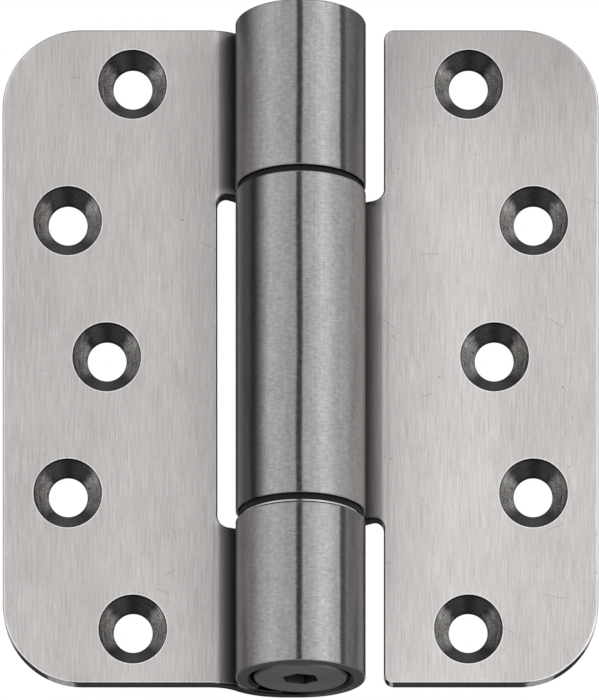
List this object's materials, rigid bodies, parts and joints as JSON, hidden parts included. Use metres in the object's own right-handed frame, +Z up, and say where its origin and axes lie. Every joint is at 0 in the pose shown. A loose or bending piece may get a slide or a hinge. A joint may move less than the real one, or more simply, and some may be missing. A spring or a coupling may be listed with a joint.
{
  "type": "commercial door hinge",
  "caption": "Heavy stainless steel butt hinge for a commercial door, with rolled knuckles, countersunk leaves, lined pin and a socket end plug.",
  "frame": {"origin": "on the pin axis, at mid height of the barrel; also the centre of the open hinge's box", "axes": "+Z up along the pin; -Y the way the countersunk faces look; -X towards the frame leaf, +X towards the door leaf"},
  "size_m": [0.11, 0.024, 0.12],
  "materials": {
    "brushed_steel": "brushed along the pin on the leaves, round the barrel on the knuckles",
    "turned_steel": "turned, matt",
    "bright_steel": "ground and polished",
    "bearing_plastic": "black, matt"
  },
  "bodies": {
    "frame_side": {"frame_leaf": "brushed_steel", "hinge_pin": "bright_steel", "bottom_end_plug": "turned_steel", "top_end_plug": "turned_steel", "top_knuckle_sleeve": "turned_steel", "bottom_knuckle_sleeve": "turned_steel", "thrust_washer": "bright_steel"},
    "door_side": {"door_leaf": "brushed_steel", "middle_knuckle_sleeve": "turned_steel", "upper_bearing_bush": "bearing_plastic", "lower_bearing_bush": "bearing_plastic"}
  },
  "joints": [
    {"name": "hinge_turn", "type": "hinge", "parent": "frame_side", "child": "door_side", "pos_m": [0, 0, 0], "axis": [0, 0, -1], "range_deg": [-130, 180]}
  ]
}
